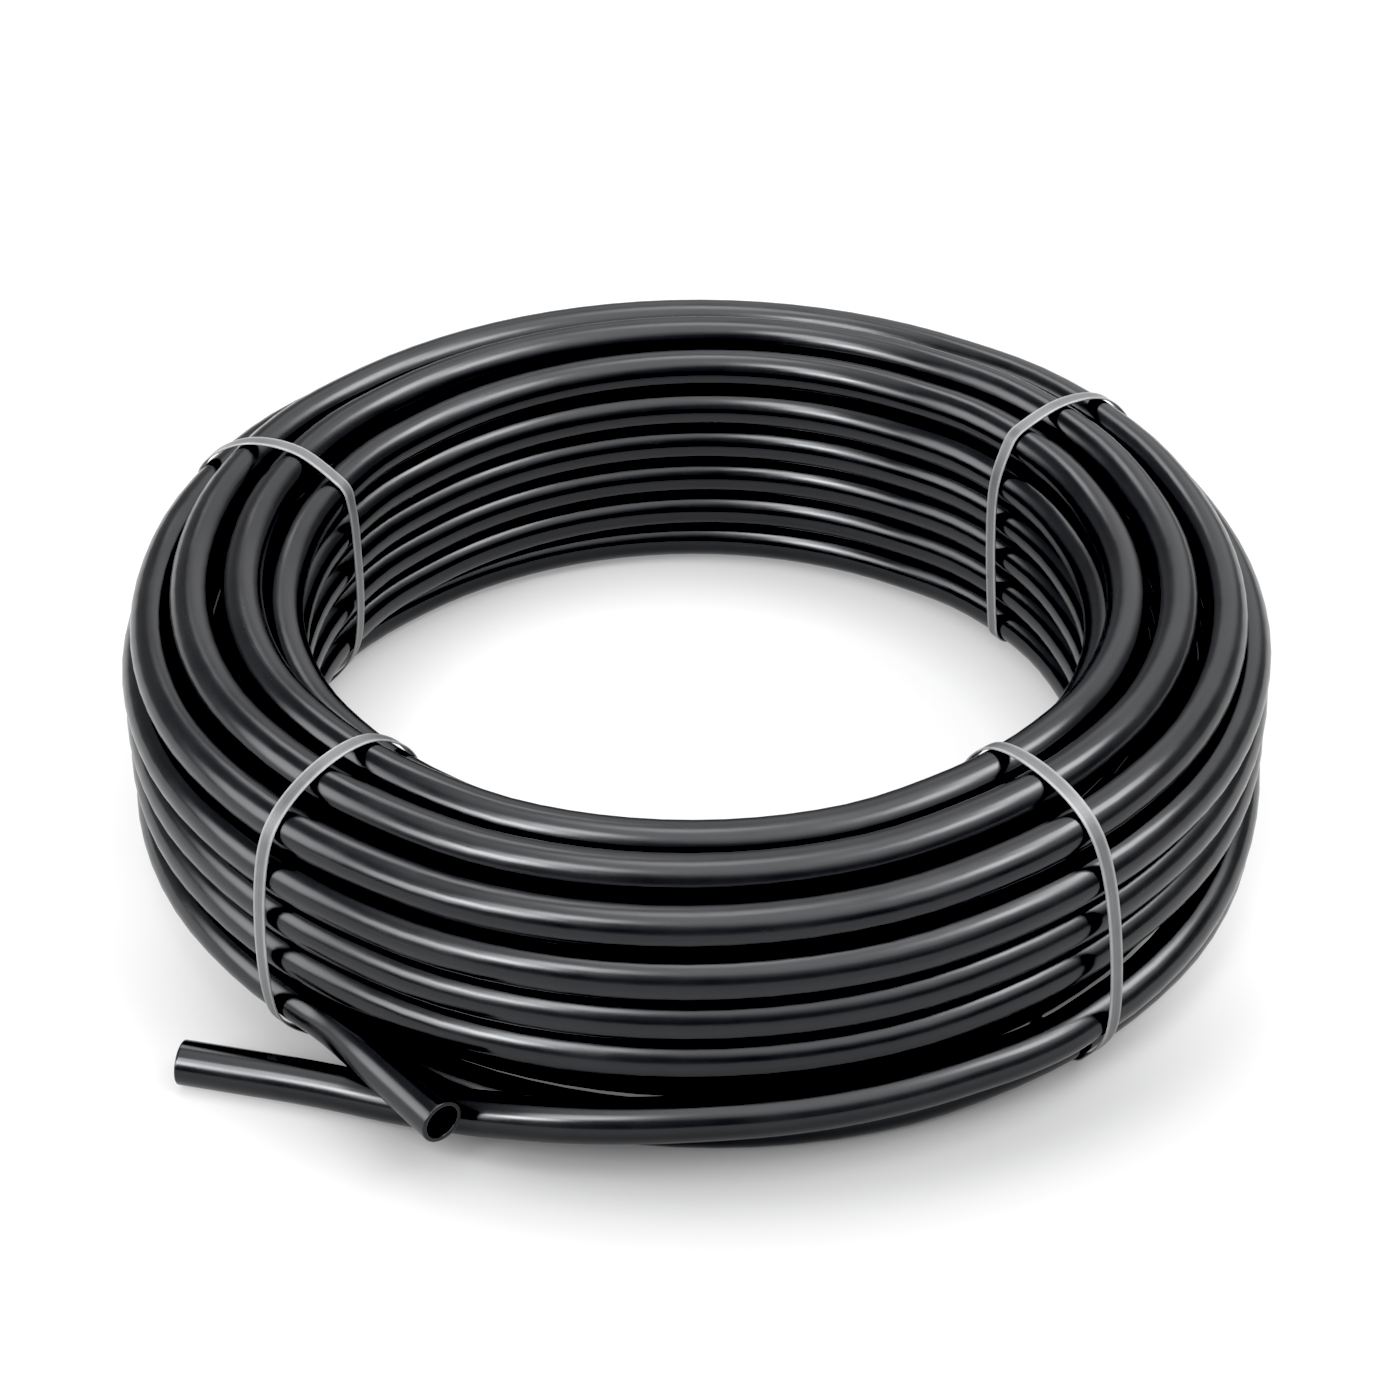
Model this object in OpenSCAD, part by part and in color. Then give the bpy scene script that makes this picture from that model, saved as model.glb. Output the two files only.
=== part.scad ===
/* [Hose] */
// Outside diameter of the hose in mm
hose_diameter = 17; // [12:0.5:22]
// Wall thickness of the hose in mm
hose_wall = 2; // [1:0.1:3]
// Length of each straight cut end in mm
tip_length = 24; // [10:1:40]

/* [Coil] */
// Radius of the outermost hose centreline in mm
outer_radius = 222; // [180:1:270]
// Clear space between neighbouring upright layers in mm
layer_gap = 0.6; // [0.6:0.1:3]
// Clear space between neighbouring rows of one layer in mm
row_gap = 1.3; // [1.2:0.1:4]
// Height of the crown above the bottom row, in rows
crown_rows = 5.46; // [4.6:0.01:6.5]
// Rounding of the coil's inner top edge, in rows
inner_rounding = 1; // [1:0.05:1.6]
// Rounding of the coil's outer top edge, in rows
outer_rounding = 1.4; // [1.2:0.1:2]
// How far the inner wall leans towards the centre at the top, in mm
inner_lean = 6; // [0:0.5:8]

/* [Straps] */
// Width of a strap in mm
strap_width = 6; // [3:0.5:12]
// Thickness of a strap in mm
strap_thickness = 0.8; // [0.4:0.1:1.5]
// Clearance between a strap and the hose in mm
strap_clearance = 0.6; // [0.5:0.1:1]

/* [Hidden] */
// The floor is Z = 0 and the origin is the middle of the footprint, which the free ends
// widen at the front. The points of both routes below are measured from the coil's axis.
coil_centre = [0.3, 5.6, 0];
// Turns are counted clockwise from above, starting at the upper end of the hose, which
// leaves the coil at the front left.
start_azimuth = 227;
layers = 4;
coil_sides = 6;
stretch_sides = 12;
strap_fn = 40;
// Where the four straps sit, in degrees clockwise from the front left one, and how many
// rings of the coil's mesh lie between each and the next, so that a ring lies in each.
back_left = 70;
back_right = 192;
front_right = 277;
strap_places = [0, back_left, back_right, front_right, 360];
strap_rings = [5, 8, 6, 5];

// Free stretch of the upper end, after the coil: it lies across the lower end.
upper_route = [
    [-132.6, -181.4, 24.8],
    [-126.1, -190.1, 26.1],
    [-119.3, -199.3, 27.2],
    [-112.4, -208, 27.6],
    [-105.4, -216.5, 27.6]
];
// Free stretch of the lower end, after the coil: it rolls off the bottom row onto the floor.
lower_route = [
    [118.5, -196.2, 25.1],
    [101, -204.4, 24.8],
    [83, -211.8, 24.3],
    [65, -217.7, 23.9],
    [46, -222.4, 23.5],
    [27, -225.5, 23.1],
    [8, -227.2, 22.7],
    [-11, -227.6, 21.7],
    [-29, -226.8, 20.4],
    [-47, -224.7, 18.9],
    [-64, -221.1, 17],
    [-80, -216.3, 14.4],
    [-95, -210.6, 11.8],
    [-110, -204.6, 9.4],
    [-127, -198.6, 8.5],
    [-146, -193.3, 8.5],
    [-168, -188.2, 8.5]
];

hose_radius = hose_diameter / 2;
hose_bore = hose_diameter - 2 * hose_wall;
row_pitch = hose_diameter + row_gap;
layer_pitch = hose_diameter + layer_gap;
// One layer further out, counted in rows, and the width of the whole winding.
layer_step = layer_pitch / row_pitch;
wall_to_wall = (layers - 1) * layer_step;
// A strap passes under the lowest hose, which rides over it: level for a few degrees on
// each side, then down to the floor again.
strap_lift = strap_thickness + strap_clearance;
lift_level = 8;
lift_fade = 14;
// Corners of the section this near the floor are pressed flat on it.
foot_height = hose_diameter / 10;

// The winding. A place in the coil's section is [rows out from the inner wall, rows up].
// The hose comes down from its upper end, which lies over the next turn, onto the floor,
// steps in a layer and climbs, steps in a layer at the top in half a turn and descends, and
// steps in again in half a turn. Then it winds the skin: up the inner wall, over the crown
// and down the outer wall. It climbs and descends at a steady rate of one row a turn, and
// at the end it settles outwards onto the bottom row.
first_rows = 0.76;
drop_turns = 0.55;
step_in_start = 0.65;
step_in_turns = 0.6;
climb_start = 1.12;
crossing = 0.5;
settle_turns = 0.14;
settle_out = 0.38;
settle_down = 0.37;
// Rows between the top of the core and the crown over it.
crown_cover = 1.15;

// Lengths along the skin, in rows, at which its straight runs and roundings end.
skin_inner = crown_rows - inner_rounding;
skin_inner_edge = skin_inner + inner_rounding * PI / 2;
skin_crown = skin_inner_edge + wall_to_wall - inner_rounding - outer_rounding;
skin_outer_edge = skin_crown + outer_rounding * PI / 2;
skin_length = skin_outer_edge + crown_rows - outer_rounding;
// The core is as high as lets the outer wall's rows end on a whole row over the upper end.
core_turns = floor(skin_length + climb_start + 2 * (crown_rows - crown_cover));
core_rows = (core_turns - skin_length - climb_start) / 2;
core_top = climb_start + core_rows;
skin_start = core_top + core_rows;
// The lower end leaves at the front right strap, the upper one a quarter turn further on.
coil_turns = core_turns - 2 + front_right / 360;

function clamp01(x) = min(1, max(0, x));
function ease(x) = clamp01(x) * clamp01(x) * (3 - 2 * clamp01(x));
function unit(v) = v / norm(v);
function degrees_of(rows, rounding) = rows / rounding * 180 / PI;

function skin_place(s) =
    s < skin_inner ? [0, s] :
    s < skin_inner_edge ? let(a = degrees_of(s - skin_inner, inner_rounding))
        [inner_rounding * (1 - cos(a)), crown_rows - inner_rounding * (1 - sin(a))] :
    s < skin_crown ? [inner_rounding + s - skin_inner_edge, crown_rows] :
    s < skin_outer_edge ? let(a = degrees_of(s - skin_crown, outer_rounding))
        [wall_to_wall - outer_rounding * (1 - sin(a)), crown_rows - outer_rounding * (1 - cos(a))] :
    [wall_to_wall, skin_length - s];

function first_turn(t) = [
    wall_to_wall - layer_step * ease((t - step_in_start) / step_in_turns),
    t < climb_start ? first_rows * (1 - ease(t / drop_turns)) : t - climb_start
];
function over_core(t) = [
    layer_step * (2 - ease((t - core_top) / crossing + 0.5)),
    core_rows - abs(t - core_top)
];
function onto_skin(t) = [
    layer_step * (1 - ease((t - skin_start) / crossing + 0.5)),
    abs(t - skin_start)
];
function on_skin(t) =
    skin_place(t - skin_start)
    + [settle_out, -settle_down] * ease((t - coil_turns) / settle_turns + 1);
function section_place(t) =
    t < core_top - 1 ? first_turn(t) :
    t < skin_start - 1 ? over_core(t) :
    t < skin_start + 1 ? onto_skin(t) :
    on_skin(t);

function bearing(t) = 360 * (t - floor(t));
function lift(t) = strap_lift * max([
    for (place = strap_places)
        ease((lift_level + lift_fade - abs(bearing(t) - place)) / lift_fade)
]);
function section_point(t) =
    let(p = section_place(t), up = p[1] / crown_rows, in = 1 - p[0] / wall_to_wall)
    [outer_radius - (wall_to_wall - p[0]) * row_pitch - inner_lean * up * in,
     hose_radius + p[1] * row_pitch + lift(t)];
function coil_point(t) =
    let(p = section_point(t), a = start_azimuth - bearing(t))
    [p[0] * cos(a), p[0] * sin(a), p[1]];

// Rings lie between the straps and at them. A small part of a turn gives a direction.
small_turn = 0.001;
ring_turns = [
    for (turn = [0 : floor(coil_turns)])
        for (k = [0 : len(strap_rings) - 1])
            for (i = [0 : strap_rings[k] - 1])
                let(along = i / strap_rings[k], part = strap_places[k + 1] - strap_places[k])
                turn + (strap_places[k] + along * part) / 360
];
wound = [for (t = ring_turns) if (t < coil_turns + small_turn) coil_point(t)];
last_ring = len(wound) - 1;
upper_way = unit(wound[0] - coil_point(small_turn));
lower_way = unit(wound[last_ring] - coil_point(coil_turns - small_turn));
// Both ends run straight for one diameter, where the free stretches take over.
upper_start = wound[0] + hose_diameter * upper_way;
lower_start = wound[last_ring] + hose_diameter * lower_way;
coil_route = concat([upper_start], wound, [lower_start]);

// The least gap between two turns, measured on the route's own points.
half_turn = 12;
least_gap = min([
    for (i = [0 : last_ring - half_turn])
        for (j = [i + half_turn : last_ring])
            norm(wound[i] - wound[j])
]) - hose_diameter;
function route_length(p) =
    let(steps = [for (i = [1 : len(p) - 1]) norm(p[i] - p[i - 1])])
    steps * [for (s = steps) 1];
total_length = route_length(coil_route)
    + route_length(concat([upper_start], upper_route))
    + route_length(concat([lower_start], lower_route))
    + 2 * tip_length;

// A tube swept along points, each ring square to the way there, the first to its own way.
function way_at(p, i) =
    let(last = len(p) - 1)
    unit(p[min(last, i + 1)] - p[max(0, i - 1)]);
function ring_at(place, way, sides) =
    let(across = unit(cross(way, [0, 0, 1])), up = cross(across, way))
    [for (k = [0 : sides - 1])
        let(a = 360 * k / sides, q = place + hose_radius * (cos(a) * across + sin(a) * up))
        [q[0], q[1], q[2] < foot_height ? 0 : q[2]]];

module tube_along(p, first_way, sides) {
    count = len(p);
    ways = [for (i = [0 : count - 1]) i == 0 ? first_way : way_at(p, i)];
    points = [for (i = [0 : count - 1]) each ring_at(p[i], ways[i], sides)];
    walls = [
        for (i = [0 : count - 2])
            for (k = [0 : sides - 1])
                let(a = i * sides + k, b = i * sides + (k + 1) % sides)
                each [[a, b, b + sides], [a, b + sides, a + sides]]
    ];
    first_cap = [for (k = [1 : sides - 2]) [0, k + 1, k]];
    last = (count - 1) * sides;
    last_cap = [for (k = [1 : sides - 2]) [last, last + k, last + k + 1]];
    polyhedron(points, concat(walls, first_cap, last_cap));
}

// A straight, square cut end with its open bore, carried on from the last step of a route.
module cut_end(route) {
    last = len(route) - 1;
    way = unit(route[last] - route[last - 1]);
    translate(route[last])
        rotate([0, acos(way[2]), atan2(way[1], way[0])])
            difference() {
                cylinder(d = hose_diameter, h = tip_length, $fn = 64);
                translate([0, 0, hose_wall])
                    cylinder(d = hose_bore, h = tip_length, $fn = 64);
            }
}

// The hull of the turns where a strap sits, let out by a distance.
module turns_outline(place, distance) {
    first = place / 360;
    hull()
        for (t = [first : coil_turns + small_turn])
            translate(section_point(t))
                circle(hose_radius + distance, $fn = strap_fn);
}

// A closed band round the coil's section.
module strap(place) {
    rotate([90, 0, start_azimuth - place])
        translate([0, 0, -strap_width / 2])
            linear_extrude(strap_width)
                difference() {
                    turns_outline(place, strap_clearance + strap_thickness);
                    turns_outline(place, strap_clearance);
                }
}

module hose_coil() {
    echo(least_gap_mm = least_gap, coil_turns = coil_turns, hose_m = total_length / 1000);
    color("#1b1c1e")
        translate(coil_centre)
            tube_along(coil_route, -upper_way, coil_sides);
}

module hose_stretch_upper() {
    color("#1b1c1e")
        translate(coil_centre)
            tube_along(concat([upper_start], upper_route), upper_way, stretch_sides);
}

module hose_stretch_lower() {
    color("#1b1c1e")
        translate(coil_centre)
            tube_along(concat([lower_start], lower_route), lower_way, stretch_sides);
}

module hose_tip_upper() {
    color("#1b1c1e")
        translate(coil_centre)
            cut_end(upper_route);
}

module hose_tip_lower() {
    color("#1b1c1e")
        translate(coil_centre)
            cut_end(lower_route);
}

module strap_front_left() {
    color("#8f9295")
        translate(coil_centre)
            strap(0);
}

module strap_front_right() {
    color("#8f9295")
        translate(coil_centre)
            strap(front_right);
}

module strap_back_right() {
    color("#8f9295")
        translate(coil_centre)
            strap(back_right);
}

module strap_back_left() {
    color("#8f9295")
        translate(coil_centre)
            strap(back_left);
}

hose_coil();
hose_stretch_upper();
hose_stretch_lower();
hose_tip_upper();
hose_tip_lower();
strap_front_left();
strap_front_right();
strap_back_right();
strap_back_left();
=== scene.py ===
import math

import bpy
import numpy as np
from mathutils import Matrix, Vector


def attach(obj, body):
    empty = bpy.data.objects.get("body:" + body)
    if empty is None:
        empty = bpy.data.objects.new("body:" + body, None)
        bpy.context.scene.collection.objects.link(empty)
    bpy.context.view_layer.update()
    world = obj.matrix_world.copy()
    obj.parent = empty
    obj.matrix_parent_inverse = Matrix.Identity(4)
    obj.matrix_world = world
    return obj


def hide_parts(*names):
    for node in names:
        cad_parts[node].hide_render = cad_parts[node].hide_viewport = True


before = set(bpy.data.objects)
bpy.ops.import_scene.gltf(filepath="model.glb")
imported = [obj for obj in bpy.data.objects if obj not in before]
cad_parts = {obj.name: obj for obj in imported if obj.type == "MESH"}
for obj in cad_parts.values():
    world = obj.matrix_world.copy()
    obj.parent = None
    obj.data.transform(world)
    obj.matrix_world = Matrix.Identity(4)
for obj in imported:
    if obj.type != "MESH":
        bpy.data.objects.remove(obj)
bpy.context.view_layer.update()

# ---------------------------------------------------------------- sizes, in metres

HOSE_RADIUS = 0.0085
BORE_RADIUS = 0.0065
TIP_LENGTH = 0.024

# Each bore is open this far in, which no view reaches, and closed there. The cut edge is
# rounded by a lip, and the plain rings start a little way behind it.
BORE_DEPTH = 0.080
BORE_RINGS = 22
LIP = 0.00035
LIP_EASE = 0.3 * LIP
LIP_END = 3 * LIP
BODY_START = 5 * LIP

# The coil: its outer wall, the distances between rows and between layers, and its crown.
# The roundings of the crown are in rows, and so is its height.
OUTER_RADIUS = 0.222
LAYERS = 4
ROW_PITCH = 0.0183
LAYER_PITCH = 0.0176
CROWN_ROWS = 5.46
INNER_ROUNDING = 1.0
OUTER_ROUNDING = 1.4
INNER_LEAN = 0.006
STRAP_LIFT = 0.0014
STRAP_WIDTH = 0.006
STRAP_THICKNESS = 0.0008

# How a strap's outline is read: the gap that parts one bend from the next, the number of
# points under which a bend is taken as one point, the least distance between points, and
# the step of the eased line.
STRAP_SPAN = 0.003
STRAP_TIGHT = 6
STRAP_NEAR = 0.0004
STRAP_STEP = 0.002

# The strap's section: across, in widths from its middle, and in from its outside, in
# thicknesses. The face is dished a little between its rolled edges.
STRAP_SECTION = [
    (-0.500, 0.30), (-0.485, 0.10), (-0.440, 0.00), (-0.220, 0.03), (0.000, 0.04),
    (0.220, 0.03), (0.440, 0.00), (0.485, 0.10), (0.500, 0.30),
    (0.500, 0.70), (0.485, 0.90), (0.440, 1.00), (-0.440, 1.00), (-0.485, 0.90),
    (-0.500, 0.70),
]

# The coil's axis, and where the straps stand in degrees clockwise from the first one.
COIL_CENTRE = np.array([0.0003, 0.0056, 0.0])
START_AZIMUTH = 227.0
BACK_LEFT = 70.0
BACK_RIGHT = 192.0
FRONT_RIGHT = 277.0
STRAPS = {
    "strap_front_left": 0.0,
    "strap_back_left": BACK_LEFT,
    "strap_back_right": BACK_RIGHT,
    "strap_front_right": FRONT_RIGHT,
}
FULL_TURN = 360.0
LIFT_PLACES = [*STRAPS.values(), FULL_TURN]
LIFT_LEVEL = 8.0
LIFT_FADE = 14.0

# The winding's own course, in rows and in turns.
FIRST_ROWS = 0.76
DROP_TURNS = 0.55
STEP_IN_START = 0.65
STEP_IN_TURNS = 0.6
CLIMB_START = 1.12
CROSSING = 0.5
CROWN_COVER = 1.15
SETTLE_TURNS = 0.14
SETTLE_OUT = 0.38
SETTLE_DOWN = 0.37
SMALL_TURN = 0.001

RINGS_PER_TURN = 96
SIDES = 32
FREE_STEP = 0.003

# Free stretches from the coil to the last point before each cut end, from the coil's axis.
UPPER_ROUTE = [
    (-0.1326, -0.1814, 0.0248),
    (-0.1261, -0.1901, 0.0261),
    (-0.1193, -0.1993, 0.0272),
    (-0.1124, -0.2080, 0.0276),
    (-0.1054, -0.2165, 0.0276),
]
LOWER_ROUTE = [
    (0.1185, -0.1962, 0.0251),
    (0.1010, -0.2044, 0.0248),
    (0.0830, -0.2118, 0.0243),
    (0.0650, -0.2177, 0.0239),
    (0.0460, -0.2224, 0.0235),
    (0.0270, -0.2255, 0.0231),
    (0.0080, -0.2272, 0.0227),
    (-0.0110, -0.2276, 0.0217),
    (-0.0290, -0.2268, 0.0204),
    (-0.0470, -0.2247, 0.0189),
    (-0.0640, -0.2211, 0.0170),
    (-0.0800, -0.2163, 0.0144),
    (-0.0950, -0.2106, 0.0118),
    (-0.1100, -0.2046, 0.0094),
    (-0.1270, -0.1986, 0.0085),
    (-0.1460, -0.1933, 0.0085),
    (-0.1680, -0.1882, 0.0085),
]

# ---------------------------------------------------------------- the winding

LAYER_STEP = LAYER_PITCH / ROW_PITCH
WALL_TO_WALL = (LAYERS - 1) * LAYER_STEP
SKIN_INNER = CROWN_ROWS - INNER_ROUNDING
SKIN_INNER_EDGE = SKIN_INNER + INNER_ROUNDING * math.pi / 2
SKIN_CROWN = SKIN_INNER_EDGE + WALL_TO_WALL - INNER_ROUNDING - OUTER_ROUNDING
SKIN_OUTER_EDGE = SKIN_CROWN + OUTER_ROUNDING * math.pi / 2
SKIN_LENGTH = SKIN_OUTER_EDGE + CROWN_ROWS - OUTER_ROUNDING
CORE_TURNS = math.floor(SKIN_LENGTH + CLIMB_START + 2 * (CROWN_ROWS - CROWN_COVER))
CORE_ROWS = (CORE_TURNS - SKIN_LENGTH - CLIMB_START) / 2
CORE_TOP = CLIMB_START + CORE_ROWS
SKIN_START = CORE_TOP + CORE_ROWS
COIL_TURNS = CORE_TURNS - 2 + FRONT_RIGHT / FULL_TURN


def ease(x):
    x = min(1.0, max(0.0, x))
    return x * x * (3 - 2 * x)


def unit(v):
    return v / np.linalg.norm(v)


def skin_place(s):
    """Up the inner wall, over the crown and down the outer wall, in rows."""
    if s < SKIN_INNER:
        return 0.0, s
    if s < SKIN_INNER_EDGE:
        a = (s - SKIN_INNER) / INNER_ROUNDING
        return INNER_ROUNDING * (1 - math.cos(a)), CROWN_ROWS - INNER_ROUNDING * (1 - math.sin(a))
    if s < SKIN_CROWN:
        return INNER_ROUNDING + s - SKIN_INNER_EDGE, CROWN_ROWS
    if s < SKIN_OUTER_EDGE:
        a = (s - SKIN_CROWN) / OUTER_ROUNDING
        out = WALL_TO_WALL - OUTER_ROUNDING * (1 - math.sin(a))
        return out, CROWN_ROWS - OUTER_ROUNDING * (1 - math.cos(a))
    return WALL_TO_WALL, SKIN_LENGTH - s


def section_place(t):
    """Where turn t lies in the coil's section: rows out from the inner wall, rows up."""
    if t < CORE_TOP - 1:
        out = WALL_TO_WALL - LAYER_STEP * ease((t - STEP_IN_START) / STEP_IN_TURNS)
        drop = FIRST_ROWS * (1 - ease(t / DROP_TURNS))
        return out, drop if t < CLIMB_START else t - CLIMB_START
    if t < SKIN_START - 1:
        out = LAYER_STEP * (2 - ease((t - CORE_TOP) / CROSSING + 0.5))
        return out, CORE_ROWS - abs(t - CORE_TOP)
    if t < SKIN_START + 1:
        out = LAYER_STEP * (1 - ease((t - SKIN_START) / CROSSING + 0.5))
        return out, abs(t - SKIN_START)
    out, up = skin_place(t - SKIN_START)
    settled = ease((t - COIL_TURNS) / SETTLE_TURNS + 1)
    return out + SETTLE_OUT * settled, up - SETTLE_DOWN * settled


def bearing(t):
    return FULL_TURN * (t - math.floor(t))


def lift(t):
    """The hose rides over the strap that passes under it."""
    return STRAP_LIFT * max(
        ease((LIFT_LEVEL + LIFT_FADE - abs(bearing(t) - place)) / LIFT_FADE)
        for place in LIFT_PLACES
    )


def coil_point(t):
    out, up = section_place(t)
    lean = INNER_LEAN * up / CROWN_ROWS * (1 - out / WALL_TO_WALL)
    radius = OUTER_RADIUS - (WALL_TO_WALL - out) * ROW_PITCH - lean
    height = HOSE_RADIUS + up * ROW_PITCH + lift(t)
    a = math.radians(START_AZIMUTH - bearing(t))
    return np.array([radius * math.cos(a), radius * math.sin(a), height])


def wound_points():
    steps = int(COIL_TURNS * RINGS_PER_TURN)
    return [coil_point(COIL_TURNS * i / steps) for i in range(steps + 1)]


def smooth_through(points, step):
    """A centripetal Catmull-Rom curve through points[1:-1], whose ends only steer it."""
    curve = [points[1]]
    for p0, p1, p2, p3 in zip(points, points[1:], points[2:], points[3:]):
        t0 = 0.0
        t1 = t0 + math.sqrt(np.linalg.norm(p1 - p0))
        t2 = t1 + math.sqrt(np.linalg.norm(p2 - p1))
        t3 = t2 + math.sqrt(np.linalg.norm(p3 - p2))
        count = max(1, round(np.linalg.norm(p2 - p1) / step))
        for i in range(1, count + 1):
            t = t1 + (t2 - t1) * i / count
            a1 = (t1 - t) / (t1 - t0) * p0 + (t - t0) / (t1 - t0) * p1
            a2 = (t2 - t) / (t2 - t1) * p1 + (t - t1) / (t2 - t1) * p2
            a3 = (t3 - t) / (t3 - t2) * p2 + (t - t2) / (t3 - t2) * p3
            b1 = (t2 - t) / (t2 - t0) * a1 + (t - t0) / (t2 - t0) * a2
            b2 = (t3 - t) / (t3 - t1) * a2 + (t - t1) / (t3 - t1) * a3
            curve.append((t2 - t) / (t2 - t1) * b1 + (t - t1) / (t2 - t1) * b2)
    return curve


def free_end(steer, start, way, route):
    """From a coil end, one diameter straight on, along the route to the cut end's mouth."""
    route = [np.array(p) for p in route]
    last_way = unit(route[-1] - route[-2])
    mouth = route[-1] + TIP_LENGTH * last_way
    middle = route[-1] + TIP_LENGTH / 2 * last_way
    beyond = mouth + TIP_LENGTH / 2 * last_way
    turned_out = start + 2 * HOSE_RADIUS * way
    return smooth_through([steer, start, turned_out, *route, middle, mouth, beyond], FREE_STEP)


def hose_path():
    """The centreline from the lower cut end to the upper one, in the row frame."""
    wound = wound_points()
    upper_way = unit(wound[0] - coil_point(SMALL_TURN))
    lower_way = unit(wound[-1] - coil_point(COIL_TURNS - SMALL_TURN))
    upper = free_end(wound[1], wound[0], upper_way, UPPER_ROUTE)
    lower = free_end(wound[-2], wound[-1], lower_way, LOWER_ROUTE)
    path = np.array(lower[:0:-1] + wound[::-1] + upper[1:]) + COIL_CENTRE
    path[:, 2] = np.maximum(path[:, 2], HOSE_RADIUS)
    return path


PATH = hose_path()
PATH_STEPS = np.linalg.norm(np.diff(PATH, axis=0), axis=1)
PATH_RUN = np.concatenate([[0.0], np.cumsum(PATH_STEPS)])
HOSE_LENGTH = float(PATH_RUN[-1])

# ---------------------------------------------------------------- camera

CAMERA_DISTANCE = 1.3120
CAMERA_ELEVATION = math.radians(35.692)
AIM_HEIGHT = 0.0533
SENSOR = 36.0
IMAGE_SIZE = 1400.0
FOCAL_PIXELS = 3197.0
AIM_PIXEL = (696.27, 677.57)
NEAR_CLIP = 0.05
FAR_CLIP = 100.0


def add_camera():
    data = bpy.data.cameras.new("camera")
    data.sensor_width = SENSOR
    data.lens = SENSOR * FOCAL_PIXELS / IMAGE_SIZE
    data.shift_x = (IMAGE_SIZE / 2 - AIM_PIXEL[0]) / IMAGE_SIZE
    data.shift_y = (AIM_PIXEL[1] - IMAGE_SIZE / 2) / IMAGE_SIZE
    data.clip_start = NEAR_CLIP
    data.clip_end = FAR_CLIP
    camera = bpy.data.objects.new("camera", data)
    aim = Vector((*COIL_CENTRE[:2], AIM_HEIGHT))
    back = Vector((0.0, -math.cos(CAMERA_ELEVATION), math.sin(CAMERA_ELEVATION)))
    camera.location = aim + CAMERA_DISTANCE * back
    camera.rotation_euler = (-back).to_track_quat("-Z", "Y").to_euler()
    bpy.context.scene.collection.objects.link(camera)
    bpy.context.scene.camera = camera


add_camera()

# ---------------------------------------------------------------- the hose


def ring_frames():
    """Each ring's sideways and upward directions, square to the path."""
    ways = np.gradient(PATH, PATH_RUN, axis=0)
    ways /= np.linalg.norm(ways, axis=1)[:, None]
    across = np.cross(ways, [0.0, 0.0, 1.0])
    across /= np.linalg.norm(across, axis=1)[:, None]
    return across, np.cross(across, ways)


def at_run(values, run):
    """A row of values interpolated at a distance along the path."""
    return np.array([np.interp(run, PATH_RUN, values[:, i]) for i in range(3)])


def end_profile():
    """Distance from the mouth and radius, from the bore's bottom out over the cut edge."""
    deep = [(d, BORE_RADIUS) for d in np.linspace(BORE_DEPTH, LIP_END, BORE_RINGS)]
    lip = [
        (LIP, BORE_RADIUS),
        (LIP_EASE, BORE_RADIUS + LIP_EASE),
        (0.0, BORE_RADIUS + LIP),
        (0.0, HOSE_RADIUS - LIP),
        (LIP_EASE, HOSE_RADIUS - LIP_EASE),
        (LIP, HOSE_RADIUS),
        (LIP_END, HOSE_RADIUS),
    ]
    return deep + lip


def hose_rings():
    """Distance along the path and radius of every ring, from one bore to the other."""
    first = end_profile()
    body_end = HOSE_LENGTH - BODY_START
    body = [(run, HOSE_RADIUS) for run in PATH_RUN if BODY_START < run < body_end]
    last = [(HOSE_LENGTH - d, r) for d, r in reversed(first)]
    return first + body + last


def hose_mesh():
    across, up = ring_frames()
    angles = np.arange(SIDES) * 2 * math.pi / SIDES
    places, straight = [], []
    for run, radius in hose_rings():
        centre, side, rise = (at_run(v, run) for v in (PATH, across, up))
        for a in angles:
            places.append(centre + radius * (math.cos(a) * side + math.sin(a) * rise))
            straight.append((radius * math.cos(a), radius * math.sin(a), run))
    count = len(places) // SIDES
    faces = []
    for i in range(count - 1):
        for k in range(SIDES):
            a, b = i * SIDES + k, i * SIDES + (k + 1) % SIDES
            faces.append((a, b, b + SIDES, a + SIDES))
    faces.append(tuple(range(SIDES - 1, -1, -1)))
    faces.append(tuple(range((count - 1) * SIDES, count * SIDES)))
    mesh = bpy.data.meshes.new("hose")
    mesh.from_pydata([tuple(p) for p in places], [], faces)
    mesh.update()
    mesh.shade_smooth()
    coordinate = mesh.attributes.new("straight", "FLOAT_VECTOR", "POINT")
    coordinate.data.foreach_set("vector", np.array(straight, np.float32).ravel())
    return mesh


def add_hose(material):
    hose = bpy.data.objects.new("hose", hose_mesh())
    bpy.context.scene.collection.objects.link(hose)
    hose.data.materials.append(material)
    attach(hose, "root")
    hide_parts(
        "hose_coil",
        "hose_stretch_upper",
        "hose_stretch_lower",
        "hose_tip_upper",
        "hose_tip_lower",
    )


# ---------------------------------------------------------------- materials

HOSE_SHADES = [(0.30, (0.0026, 0.0027, 0.0032)), (0.72, (0.0064, 0.0066, 0.0076))]
HOSE_IOR = 1.5
HOSE_GLOSS_TINT = (0.955, 0.975, 1.0, 1.0)

# From the middle of a strap, 0, to its edge, 1: its grey, paler towards the rolled edges as a
# painted highlight.
STRAP_GREY_AND_EDGE_HIGHLIGHT = [
    (0.0, (0.080, 0.082, 0.085)),
    (0.55, (0.091, 0.093, 0.096)),
    (0.78, (0.172, 0.174, 0.177)),
    (1.0, (0.224, 0.226, 0.229)),
]
STRAP_IOR = 1.49


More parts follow.
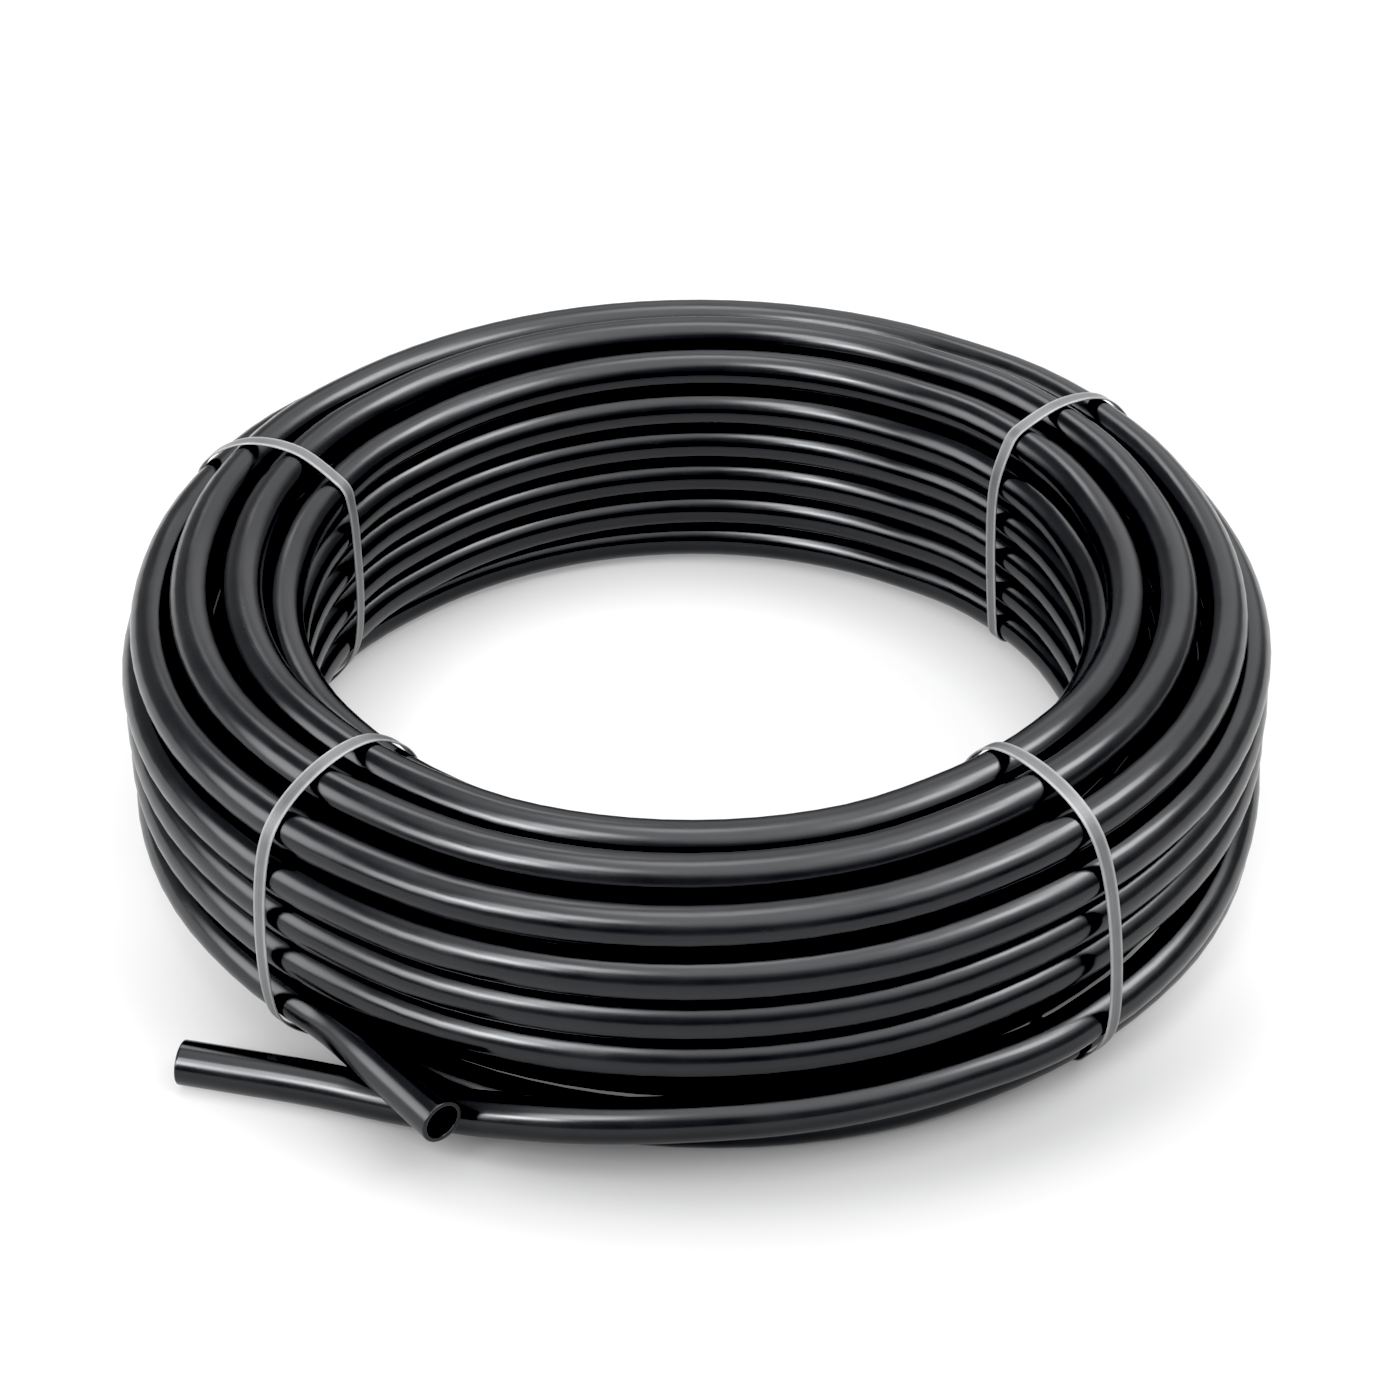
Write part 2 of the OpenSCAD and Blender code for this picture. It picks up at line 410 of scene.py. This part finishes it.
class Nodes:
    """Short calls for building one material's node tree."""

    def __init__(self, name):
        self.material = bpy.data.materials.new(name)
        self.material.use_nodes = True
        self.tree = self.material.node_tree
        self.shader = self.tree.nodes["Principled BSDF"]

    def add(self, kind, **settings):
        node = self.tree.nodes.new(kind)
        for key, value in settings.items():
            setattr(node, key, value)
        return node

    def link(self, source, target):
        self.tree.links.new(source, target)

    def math(self, operation, a, b=0.0):
        node = self.add("ShaderNodeMath", operation=operation)
        for socket, value in zip(node.inputs, (a, b)):
            if isinstance(value, (int, float)):
                socket.default_value = value
            else:
                self.link(value, socket)
        return node.outputs[0]

    def scaled(self, vector, scale):
        node = self.add("ShaderNodeVectorMath", operation="MULTIPLY")
        self.link(vector, node.inputs[0])
        node.inputs[1].default_value = scale
        return node.outputs[0]

    def noise(self, vector, scale, detail=3.0, roughness=0.5):
        node = self.add("ShaderNodeTexNoise")
        self.link(vector, node.inputs["Vector"])
        node.inputs["Scale"].default_value = scale
        node.inputs["Detail"].default_value = detail
        node.inputs["Roughness"].default_value = roughness
        return node.outputs["Fac"]

    def spread(self, value, low, high, to_low, to_high):
        node = self.add("ShaderNodeMapRange")
        self.link(value, node.inputs["Value"])
        for name, number in zip(
            ("From Min", "From Max", "To Min", "To Max"), (low, high, to_low, to_high)
        ):
            node.inputs[name].default_value = number
        return node.outputs["Result"]

    def smooth(self, value, low, high, to_low, to_high):
        result = self.spread(value, low, high, to_low, to_high)
        result.node.interpolation_type = "SMOOTHSTEP"
        return result

    def ramp(self, value, stops):
        node = self.add("ShaderNodeValToRGB")
        self.link(value, node.inputs["Fac"])
        elements = node.color_ramp.elements
        elements[0].position, elements[0].color = stops[0][0], (*stops[0][1], 1.0)
        elements[1].position, elements[1].color = stops[-1][0], (*stops[-1][1], 1.0)
        for place, colour in stops[1:-1]:
            elements.new(place).color = (*colour, 1.0)
        return node.outputs["Color"]

    def bump(self, height, strength, distance, normal=None):
        node = self.add("ShaderNodeBump")
        node.inputs["Strength"].default_value = strength
        node.inputs["Distance"].default_value = distance
        self.link(height, node.inputs["Height"])
        if normal is not None:
            self.link(normal, node.inputs["Normal"])
        return node.outputs["Normal"]


def hose_material():
    """Black polyethylene: extrusion lines along the hose, a soft haze and light scuffs."""
    n = Nodes("black_polyethylene")
    place = n.add("ShaderNodeAttribute", attribute_name="straight").outputs["Vector"]
    lines = n.noise(n.scaled(place, (1.0, 1.0, 0.012)), 900.0, 4.0, 0.6)
    broad = n.noise(n.scaled(place, (1.0, 1.0, 0.02)), 120.0, 2.0, 0.5)
    grain = n.noise(place, 2600.0, 2.0, 0.6)
    cloud = n.noise(place, 38.0, 4.0, 0.55)
    scuffs = n.noise(n.scaled(place, (1.0, 1.0, 0.22)), 160.0, 5.0, 0.7)
    mottle = n.math("ADD", n.math("MULTIPLY", cloud, 0.6), n.math("MULTIPLY", lines, 0.4))
    n.link(n.ramp(mottle, HOSE_SHADES), n.shader.inputs["Base Color"])
    haze = n.spread(cloud, 0.3, 0.7, 0.17, 0.25)
    rough = n.math("ADD", haze, n.spread(scuffs, 0.60, 0.82, 0.0, 0.12))
    rough = n.math("ADD", rough, n.spread(lines, 0.3, 0.7, -0.02, 0.03))
    n.link(rough, n.shader.inputs["Roughness"])
    n.shader.inputs["IOR"].default_value = HOSE_IOR
    n.shader.inputs["Specular Tint"].default_value = HOSE_GLOSS_TINT
    fine = n.bump(grain, 0.10, 0.00002)
    ridged = n.bump(lines, 0.35, 0.00003, fine)
    n.link(n.bump(broad, 0.6, 0.0004, ridged), n.shader.inputs["Normal"])
    return n.material


def strap_material(name, place):
    """Grey strapping: fine lines along it, a painted highlight along its rolled edges, a duller
    middle.
    """
    n = Nodes(name)
    azimuth = math.radians(START_AZIMUTH - place)
    sideways = (-math.sin(azimuth), math.cos(azimuth), 0.0)
    where = n.add("ShaderNodeTexCoord").outputs["Object"]
    dot = n.add("ShaderNodeVectorMath", operation="DOT_PRODUCT")
    n.link(where, dot.inputs[0])
    dot.inputs[1].default_value = sideways
    middle = float(np.dot(COIL_CENTRE, sideways))
    offset = n.math("SUBTRACT", dot.outputs["Value"], middle)
    wide = n.math("MULTIPLY", offset, 2 / STRAP_WIDTH)
    edge = n.math("ABSOLUTE", wide)
    across = n.add("ShaderNodeCombineXYZ")
    n.link(wide, across.inputs[0])
    drift = n.noise(where, 30.0, 2.0)
    n.link(n.math("MULTIPLY", drift, 0.15), across.inputs[1])
    lines = n.noise(across.outputs[0], 7.0, 3.0, 0.7)
    blotch = n.noise(where, 90.0, 3.0, 0.6)
    # Painted highlight: the grey turns paler towards the strap's rolled edges.
    shade = n.ramp(edge, STRAP_GREY_AND_EDGE_HIGHLIGHT)
    mottle = n.math("ADD", n.math("MULTIPLY", lines, 0.7), n.math("MULTIPLY", blotch, 0.3))
    tint = n.spread(mottle, 0.3, 0.7, 0.52, 1.36)
    mixed = n.add("ShaderNodeVectorMath", operation="SCALE")
    n.link(shade, mixed.inputs[0])
    n.link(tint, mixed.inputs["Scale"])
    n.link(mixed.outputs["Vector"], n.shader.inputs["Base Color"])
    n.link(n.spread(blotch, 0.3, 0.7, 0.27, 0.42), n.shader.inputs["Roughness"])
    n.shader.inputs["IOR"].default_value = STRAP_IOR
    n.link(n.bump(lines, 0.5, 0.00008), n.shader.inputs["Normal"])
    return n.material


def outline(points):
    """The closed convex line round a set of flat points, anticlockwise."""
    def half(row):
        line = []
        for x, y in row:
            while len(line) > 1:
                (x1, y1), (x2, y2) = line[-2:]
                if (x2 - x1) * (y - y1) > (y2 - y1) * (x - x1):
                    break
                line.pop()
            line.append((x, y))
        return line[:-1]
    row = sorted(points)
    return [np.array(p) for p in half(row) + half(row[::-1])]


def strap_outline(strap, out):
    """The outside of a CAD strap in its upright plane: metres out from the axis, and up."""
    points = [np.array(strap.matrix_world @ v.co) - COIL_CENTRE for v in strap.data.vertices]
    return outline({(round(float(p @ out), 5), round(float(p[2]), 5)) for p in points})


def bends(loop):
    """The outline's vertices in groups, one for each hose that the strap bends round."""
    gaps = [np.linalg.norm(loop[i] - loop[i - 1]) for i in range(len(loop))]
    first = int(np.argmax(gaps))
    groups = []
    for i in range(first, first + len(loop)):
        if gaps[i % len(loop)] > STRAP_SPAN:
            groups.append([])
        groups[-1].append(loop[i % len(loop)])
    return groups


def strap_line(loop):
    """The outline eased by the strap's own stiffness: it bends gently over the crown."""
    held = []
    for group in bends(loop):
        last = len(group) - 1
        if last < STRAP_TIGHT:
            held.append((group[last // 2] + group[(last + 1) // 2]) / 2)
        else:
            held += group[1:-1]
    held = [p for i, p in enumerate(held) if np.linalg.norm(p - held[i - 1]) > STRAP_NEAR]
    line = np.array(smooth_through([held[-1], *held, held[0], held[1]], STRAP_STEP)[:-1])
    line[:, 1] = np.maximum(line[:, 1], 0.0)
    return line


def strap_mesh(name, strap, place):
    a = math.radians(START_AZIMUTH - place)
    out = np.array([math.cos(a), math.sin(a), 0.0])
    side = np.array([-math.sin(a), math.cos(a), 0.0])
    up = np.array([0.0, 0.0, 1.0])
    line = strap_line(strap_outline(strap, out))
    ways = np.roll(line, -1, axis=0) - np.roll(line, 1, axis=0)
    ways /= np.linalg.norm(ways, axis=1)[:, None]
    places = []
    for (far, high), (way_out, way_up) in zip(line, ways):
        for across, depth in STRAP_SECTION:
            far_in = far - depth * STRAP_THICKNESS * way_up
            high_in = high + depth * STRAP_THICKNESS * way_out
            flat = far_in * out + high_in * up
            places.append(COIL_CENTRE + flat + across * STRAP_WIDTH * side)
    count = len(STRAP_SECTION)
    faces = []
    for i in range(len(line)):
        j = (i + 1) % len(line)
        for k in range(count):
            m = (k + 1) % count
            faces.append((i * count + k, i * count + m, j * count + m, j * count + k))
    mesh = bpy.data.meshes.new(name)
    mesh.from_pydata([tuple(p) for p in places], [], faces)
    mesh.update()
    mesh.shade_smooth()
    return mesh


def add_straps():
    """Each strap follows its CAD solid, with rolled edges, a dished face and gentle bends."""
    for node, place in STRAPS.items():
        name = node.replace("strap", "band")
        strap = bpy.data.objects.new(name, strap_mesh(name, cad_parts[node], place))
        bpy.context.scene.collection.objects.link(strap)
        strap.data.materials.append(strap_material(name + "_finish", place))
        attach(strap, "root")
        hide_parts(node)


add_hose(hose_material())
add_straps()

# ---------------------------------------------------------------- floor, light and surroundings

FLOOR_RADIUS = 40.0
FLOOR_RINGS = 24
FLOOR_SIDES = 96
FLOOR_GROWTH = 3
FLOOR_COLOUR = (0.24, 0.24, 0.2415, 1.0)

# The floor's glow, painted light from a sheet that is no lamp: away from the coil, lowered
# near its front and under it as a painted shadow, the part taken off where the coil meets
# the floor as a painted contact shadow, and the part added in the coil's middle as painted
# light. Each pair of distances from the axis, or of Y, is where a change starts and ends.
GLOW = 0.54
PAINTED_SHADOW_GLOW = 0.18
PAINTED_CONTACT_SHADOW = 0.13
PAINTED_MIDDLE_LIGHT = 0.36
SHADE_CENTRE = (0.018, 0.0, 0.0)
SHADE_RING = (0.235, 0.308)
CONTACT_RING = (0.230, 0.258)
FRONT_BAND = (-0.22, -0.06)
UNDER_RING = (0.20, 0.21)
MIDDLE_RING = (0.13, 0.20)


def floor_material():
    """Pale sheet that glows as painted light, weaker round the coil as a painted shadow, so that
    the real shadows fade out.
    """
    n = Nodes("pale_floor_painted_light")
    n.shader.inputs["Base Color"].default_value = FLOOR_COLOUR
    n.shader.inputs["Roughness"].default_value = 0.9
    n.shader.inputs["Specular IOR Level"].default_value = 0.1
    where = n.add("ShaderNodeTexCoord").outputs["Object"]
    radius = n.add("ShaderNodeVectorMath", operation="LENGTH")
    n.link(where, radius.inputs[0])
    radius = radius.outputs["Value"]
    axes = n.add("ShaderNodeSeparateXYZ")
    n.link(where, axes.inputs[0])
    aside = n.add("ShaderNodeVectorMath", operation="DISTANCE")
    n.link(where, aside.inputs[0])
    aside.inputs[1].default_value = SHADE_CENTRE
    # Painted shadow: the glow drops near the coil's front and under it, and drops further where
    # the coil meets the floor.
    near = n.smooth(aside.outputs["Value"], *SHADE_RING, 1.0, 0.0)
    contact = n.smooth(aside.outputs["Value"], *CONTACT_RING, PAINTED_CONTACT_SHADOW, 0.0)
    front = n.smooth(axes.outputs["Y"], *FRONT_BAND, 1.0, 0.0)
    under = n.spread(radius, *UNDER_RING, 1.0, 0.0)
    shade = n.math("MAXIMUM", n.math("MULTIPLY", near, front), under)
    outside = n.spread(shade, 0.0, 1.0, GLOW, PAINTED_SHADOW_GLOW)
    outside = n.math("SUBTRACT", outside, n.math("MULTIPLY", contact, front))
    # Painted light: extra glow in the coil's middle, where the real floor lies in shade.
    inside = n.spread(radius, *MIDDLE_RING, PAINTED_MIDDLE_LIGHT, 0.0)
    n.shader.inputs["Emission Color"].default_value = (1.0, 1.0, 1.0, 1.0)
    n.link(n.math("ADD", inside, outside), n.shader.inputs["Emission Strength"])
    return n.material


def add_floor():
    places = [(0.0, 0.0, 0.0)]
    for i in range(1, FLOOR_RINGS + 1):
        radius = FLOOR_RADIUS * (i / FLOOR_RINGS) ** FLOOR_GROWTH
        for k in range(FLOOR_SIDES):
            a = 2 * math.pi * k / FLOOR_SIDES
            places.append((radius * math.cos(a), radius * math.sin(a), 0.0))
    faces = [(0, 1 + k, 1 + (k + 1) % FLOOR_SIDES) for k in range(FLOOR_SIDES)]
    for i in range(FLOOR_RINGS - 1):
        for k in range(FLOOR_SIDES):
            a = 1 + i * FLOOR_SIDES + k
            b = 1 + i * FLOOR_SIDES + (k + 1) % FLOOR_SIDES
            faces.append((a, a + FLOOR_SIDES, b + FLOOR_SIDES, b))
    mesh = bpy.data.meshes.new("floor")
    mesh.from_pydata(places, [], faces)
    floor = bpy.data.objects.new("floor", mesh)
    floor.data.materials.append(floor_material())
    bpy.context.scene.collection.objects.link(floor)


# Soft lamps far off: azimuth and elevation in degrees, the angles from the middle at which
# each is still full and at which it has faded out, and its brightness.
LAMPS = [
    (-25.0, 71.0, 18.0, 54.0, 2.7),
    (97.0, 80.0, 3.0, 14.0, 3.6),
    (108.0, 47.0, 2.0, 13.0, 5.0),
    (-125.0, 54.0, 3.0, 13.0, 12.5),
    (-130.0, 36.0, 2.0, 11.0, 24.0),
    (-143.0, 26.0, 3.0, 15.0, 9.0),
    (-176.0, 22.0, 6.0, 24.0, 5.8),
    (-14.0, 54.0, 3.0, 13.0, 11.2),
    (22.0, 50.0, 3.0, 15.0, 10.6),
    (70.0, 34.0, 9.0, 31.0, 1.15),
]
SKY = 0.42
BLACK_LEVEL = 0.023


def direction(azimuth, elevation):
    a, e = math.radians(azimuth), math.radians(elevation)
    return (math.cos(e) * math.cos(a), math.cos(e) * math.sin(a), math.sin(e))


def add_surroundings():
    """A dim even sky with soft lamps in it, the brightest of them at the front left."""
    world = bpy.data.worlds.new("studio")
    world.use_nodes = True
    bpy.context.scene.world = world
    tree = world.node_tree
    background = tree.nodes["Background"]
    place = tree.nodes.new("ShaderNodeTexCoord").outputs["Generated"]
    total = None
    for azimuth, elevation, full, faded, strength in LAMPS:
        dot = tree.nodes.new("ShaderNodeVectorMath")
        dot.operation = "DOT_PRODUCT"
        dot.inputs[1].default_value = direction(azimuth, elevation)
        tree.links.new(place, dot.inputs[0])
        fade = tree.nodes.new("ShaderNodeMapRange")
        fade.interpolation_type = "SMOOTHSTEP"
        fade.inputs["From Min"].default_value = math.cos(math.radians(faded))
        fade.inputs["From Max"].default_value = math.cos(math.radians(full))
        fade.inputs["To Min"].default_value = 0.0
        fade.inputs["To Max"].default_value = strength
        tree.links.new(dot.outputs["Value"], fade.inputs["Value"])
        add = tree.nodes.new("ShaderNodeMath")
        add.inputs[0].default_value = SKY
        if total is not None:
            tree.links.new(total, add.inputs[0])
        tree.links.new(fade.outputs["Result"], add.inputs[1])
        total = add.outputs[0]
    tree.links.new(total, background.inputs["Strength"])
    background.inputs["Color"].default_value = (1.0, 1.0, 1.0, 1.0)


def set_exposure():
    """Plain colours, with the deepest shadows gone to black as in a studio photograph."""
    settings = bpy.context.scene.view_settings
    settings.view_transform = "Standard"
    settings.use_curve_mapping = True
    settings.curve_mapping.black_level = (BLACK_LEVEL, BLACK_LEVEL, BLACK_LEVEL)
    settings.curve_mapping.update()


add_floor()
add_surroundings()
set_exposure()
